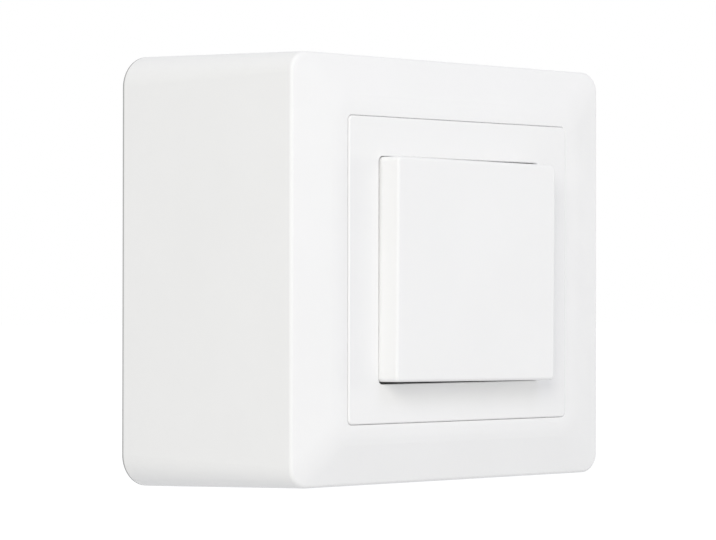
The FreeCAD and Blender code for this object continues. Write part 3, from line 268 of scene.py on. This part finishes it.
def ramp(graph, value, start, end):
    """0 up to start, 1 from end on."""
    node = graph.add("ShaderNodeMapRange", {"clamp": True, "interpolation_type": "SMOOTHSTEP"}, Value=value)
    node.inputs["From Min"].default_value = start
    node.inputs["From Max"].default_value = end
    return node.outputs["Result"]


# Painted shade round the frame's rear edge: its width, the share of that width at full darkness, and its
# grey.
WALL_SHADE_WIDTH = 0.75 * MM
WALL_SHADE_CORE = 0.65
WALL_SHADE_COLOUR = (0.39, 0.39, 0.39)
REAR_FACE_START = 0.9
REAR_FACE_END = 0.97


def painted_wall_shade(graph, colour):
    """Painted shade: a grey line round the rear edge, where the frame meets the wall and would lie in its
    shadow.
    """
    position = graph.add("ShaderNodeTexCoord").outputs["Object"]
    place = graph.add("ShaderNodeSeparateXYZ", Vector=position)
    near_wall = ramp(graph, place.outputs["Y"], -WALL_SHADE_WIDTH, -WALL_SHADE_CORE * WALL_SHADE_WIDTH)
    normal = graph.add("ShaderNodeNewGeometry").outputs["True Normal"]
    facing = graph.add("ShaderNodeSeparateXYZ", Vector=normal)
    on_rear_face = ramp(graph, facing.outputs["Y"], REAR_FACE_START, REAR_FACE_END)
    share = graph.math("MULTIPLY", near_wall, graph.math("SUBTRACT", 1.0, on_rear_face))
    return graph.between(share, colour, WALL_SHADE_COLOUR)


TINT_SIZE = 18 * MM
GLOSS_SIZE = 7 * MM
GLOSS_SPREAD = 0.05
SWELL_SIZE = 14 * MM
SWELL_STRENGTH = 0.25
SWELL_RELIEF = 0.05 * MM
GRAIN_STRENGTH = 0.5
PLASTIC_IOR = 1.49


def moulded_plastic(
    name, colour, shade, roughness, grain=0.35 * MM, relief=0.004 * MM, gloss=0.5, edge=None
):
    """Moulded thermoplastic: a spark-eroded grain, faint flow marks and slow changes of tint and gloss."""
    material, graph = new_finish(name)
    tint = graph.between(spread(graph, object_noise(graph, TINT_SIZE, 3.0), 0.0, 1.0), shade, colour)
    # An edge function, where given, paints shade into the tint, such as the painted wall shade of the frame.
    if edge:
        tint = edge(graph, tint)
    patches = object_noise(graph, GLOSS_SIZE, 4.0)
    rough = spread(graph, patches, roughness - GLOSS_SPREAD, roughness + GLOSS_SPREAD)
    fine = object_noise(graph, grain, 3.0)
    slow = object_noise(graph, SWELL_SIZE, 1.0)
    swell = graph.add("ShaderNodeBump", Strength=SWELL_STRENGTH, Distance=SWELL_RELIEF, Height=slow)
    bump = graph.add(
        "ShaderNodeBump",
        Strength=GRAIN_STRENGTH,
        Distance=relief,
        Height=fine,
        Normal=swell.outputs[0],
    )
    shader = graph.add(
        "ShaderNodeBsdfPrincipled",
        Base_Color=tint,
        Roughness=rough,
        IOR=PLASTIC_IOR,
        Normal=bump.outputs[0],
    )
    shader.inputs["Specular IOR Level"].default_value = gloss
    graph.add("ShaderNodeOutputMaterial", Surface=shader.outputs[0])
    return material


LINE_TO_NOISE = 8
LINE_STRENGTH = 0.4
LINE_GLOSS_SPREAD = 0.08
STAIN_SIZE = 5 * MM


def drawn_metal(name, colour, shade, roughness, stretch=(1, 1, 14), line=0.25 * MM, relief=0.006 * MM):
    """Rolled or drawn metal: fine lines along one direction, tarnish in patches."""
    material, graph = new_finish(name)
    lines = object_noise(graph, line * LINE_TO_NOISE, 4.0, stretch)
    stain = spread(graph, object_noise(graph, STAIN_SIZE, 4.0), 0.0, 1.0)
    rough = spread(graph, lines, roughness - LINE_GLOSS_SPREAD, roughness + LINE_GLOSS_SPREAD)
    bump = graph.add("ShaderNodeBump", Strength=LINE_STRENGTH, Distance=relief, Height=lines)
    shader = graph.add(
        "ShaderNodeBsdfPrincipled",
        Base_Color=graph.between(stain, shade, colour),
        Metallic=1.0,
        Roughness=rough,
        Normal=bump.outputs[0],
    )
    graph.add("ShaderNodeOutputMaterial", Surface=shader.outputs[0])
    return material


WHITE = (0.905, 0.905, 0.903)
WHITE_SHADE = (0.893, 0.893, 0.89)

FINISHES = {
    "frame_white": moulded_plastic("frame_white", WHITE, WHITE_SHADE, 0.5, gloss=0.4, edge=painted_wall_shade),
    "plate_white": moulded_plastic("plate_white", WHITE, WHITE_SHADE, 0.48, gloss=0.4),
    "button_white": moulded_plastic(
        "button_white", WHITE, WHITE_SHADE, 0.48, relief=0.003 * MM, gloss=0.4
    ),
    "base_pale": moulded_plastic(
        "base_pale", (0.66, 0.66, 0.63), (0.61, 0.61, 0.585), 0.52, 0.6 * MM, 0.008 * MM
    ),
    "housing_grey": moulded_plastic(
        "housing_grey", (0.49, 0.49, 0.465), (0.44, 0.44, 0.42), 0.5, 0.5 * MM, 0.008 * MM
    ),
    "cover_grey": moulded_plastic(
        "cover_grey", (0.305, 0.315, 0.325), (0.27, 0.28, 0.29), 0.48, 0.5 * MM, 0.008 * MM
    ),
    "plunger_natural": moulded_plastic(
        "plunger_natural", (0.71, 0.69, 0.61), (0.66, 0.64, 0.56), 0.38, 0.4 * MM
    ),
    "driver_dark": moulded_plastic(
        "driver_dark", (0.105, 0.11, 0.122), (0.085, 0.09, 0.1), 0.4, 0.4 * MM
    ),
    "rocker_natural": moulded_plastic(
        "rocker_natural", (0.68, 0.66, 0.58), (0.62, 0.6, 0.52), 0.38, 0.4 * MM
    ),
    "bracket_steel": drawn_metal("bracket_steel", (0.66, 0.66, 0.64), (0.54, 0.54, 0.53), 0.34, (14, 1, 1)),
    "screw_steel": drawn_metal("screw_steel", (0.64, 0.64, 0.62), (0.5, 0.5, 0.49), 0.3, (1, 14, 1)),
    "terminal_steel": drawn_metal("terminal_steel", (0.67, 0.67, 0.63), (0.54, 0.54, 0.51), 0.32, (1, 14, 1)),
    "pin_steel": drawn_metal("pin_steel", (0.7, 0.7, 0.7), (0.58, 0.58, 0.59), 0.22, (1, 14, 1)),
    "spring_steel": drawn_metal("spring_steel", (0.58, 0.58, 0.6), (0.42, 0.42, 0.44), 0.28, (1, 1, 1)),
    "contact_copper": drawn_metal("contact_copper", (0.8, 0.5, 0.35), (0.6, 0.33, 0.22), 0.3),
    "terminal_brass": drawn_metal("terminal_brass", (0.78, 0.63, 0.34), (0.62, 0.47, 0.22), 0.3),
    "contact_silver": drawn_metal("contact_silver", (0.86, 0.86, 0.84), (0.7, 0.69, 0.66), 0.24, (1, 1, 1)),
}

NODE_FINISHES = {
    "surface_frame": "frame_white",
    "centre_plate": "plate_white",
    "push_button": "button_white",
    "wall_base": "base_pale",
    "mounting_bracket": "bracket_steel",
    "bracket_screws": "screw_steel",
    "mechanism_housing": "housing_grey",
    "housing_cover": "cover_grey",
    "plunger": "plunger_natural",
    "driver_pin": "pin_steel",
    "driver_arm": "driver_dark",
    "contact_rocker": "rocker_natural",
    "rocker_shaft": "pin_steel",
    "moving_contact": "contact_copper",
    "moving_rivets": "contact_silver",
    "fixed_rivets": "contact_silver",
    "upper_terminal": "terminal_brass",
    "lower_terminal": "terminal_brass",
    "common_terminal": "terminal_brass",
    "terminal_screws": "terminal_steel",
    "terminal_clamps": "terminal_steel",
}


def dress_nodes():
    for node, finish in NODE_FINISHES.items():
        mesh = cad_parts[node].data
        if not mesh.materials:
            mesh.materials.append(FINISHES[finish])
        for index in range(len(mesh.materials)):
            mesh.materials[index] = FINISHES[finish]


# Return springs

SPRING_RADIUS = 2.4 * MM
SPRING_WIRE = 0.55 * MM
SPRING_TURNS = 5.0
CLOSED_TURNS = 0.8
CLOSED_PITCH = 1.05
TURN_STEPS = 32
WIRE_SIDES = 12


def tube_along(name, points, radius, sides):
    """A closed round tube along points, with rounded ends."""
    curve = bpy.data.curves.new(name, "CURVE")
    curve.dimensions = "3D"
    curve.bevel_depth = radius
    curve.bevel_resolution = sides // 4
    curve.use_fill_caps = True
    line = curve.splines.new("POLY")
    line.points.add(len(points) - 1)
    for target, point in zip(line.points, points):
        target.co = (*point, 1)
    source = bpy.data.objects.new(name, curve)
    mesh = bpy.data.meshes.new_from_object(source)
    bpy.data.objects.remove(source)
    mesh.name = name
    mesh.shade_smooth()
    piece = bpy.data.objects.new(name, mesh)
    scene.collection.objects.link(piece)
    return piece


def coil_rise(turn, closed_rise, open_rise):
    """The height of the wire after that many turns: the first and last turns lie nearly closed."""
    lower = min(turn, CLOSED_TURNS)
    upper = max(turn - (SPRING_TURNS - CLOSED_TURNS), 0)
    between = turn - lower - upper
    return (lower + upper) * closed_rise + between * open_rise


def make_spring(side):
    """A coil with closed ends in the place of the plain one."""
    node = f"return_spring_{side}"
    low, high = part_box(node)
    middle = (low + high) / 2
    start = low.y + SPRING_WIRE / 2
    length = high.y - low.y - SPRING_WIRE
    reach = SPRING_RADIUS - SPRING_WIRE / 2
    closed_rise = CLOSED_PITCH * SPRING_WIRE
    open_rise = (length - 2 * CLOSED_TURNS * closed_rise) / (SPRING_TURNS - 2 * CLOSED_TURNS)
    points = []
    for step in range(int(SPRING_TURNS * TURN_STEPS) + 1):
        turn = step / TURN_STEPS
        angle = 2 * math.pi * turn
        rise = coil_rise(turn, closed_rise, open_rise)
        across = middle.x + reach * math.cos(angle)
        height = middle.z + reach * math.sin(angle)
        points.append((across, start + rise, height))
    piece = tube_along(f"spring_coil_{side}", points, SPRING_WIRE / 2, WIRE_SIDES)
    piece.data.materials.append(FINISHES["spring_steel"])
    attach(piece, "switch_body")
    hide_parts(node)
    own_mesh(piece)


make_camera()
make_world()
make_lamps()
make_floor()
dress_nodes()
for side in ("left", "right"):
    make_spring(side)

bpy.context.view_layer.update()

scene.cycles.diffuse_bounces = DIFFUSE_BOUNCES
scene.cycles.max_bounces = ALL_BOUNCES
scene.view_settings.view_transform = "Standard"
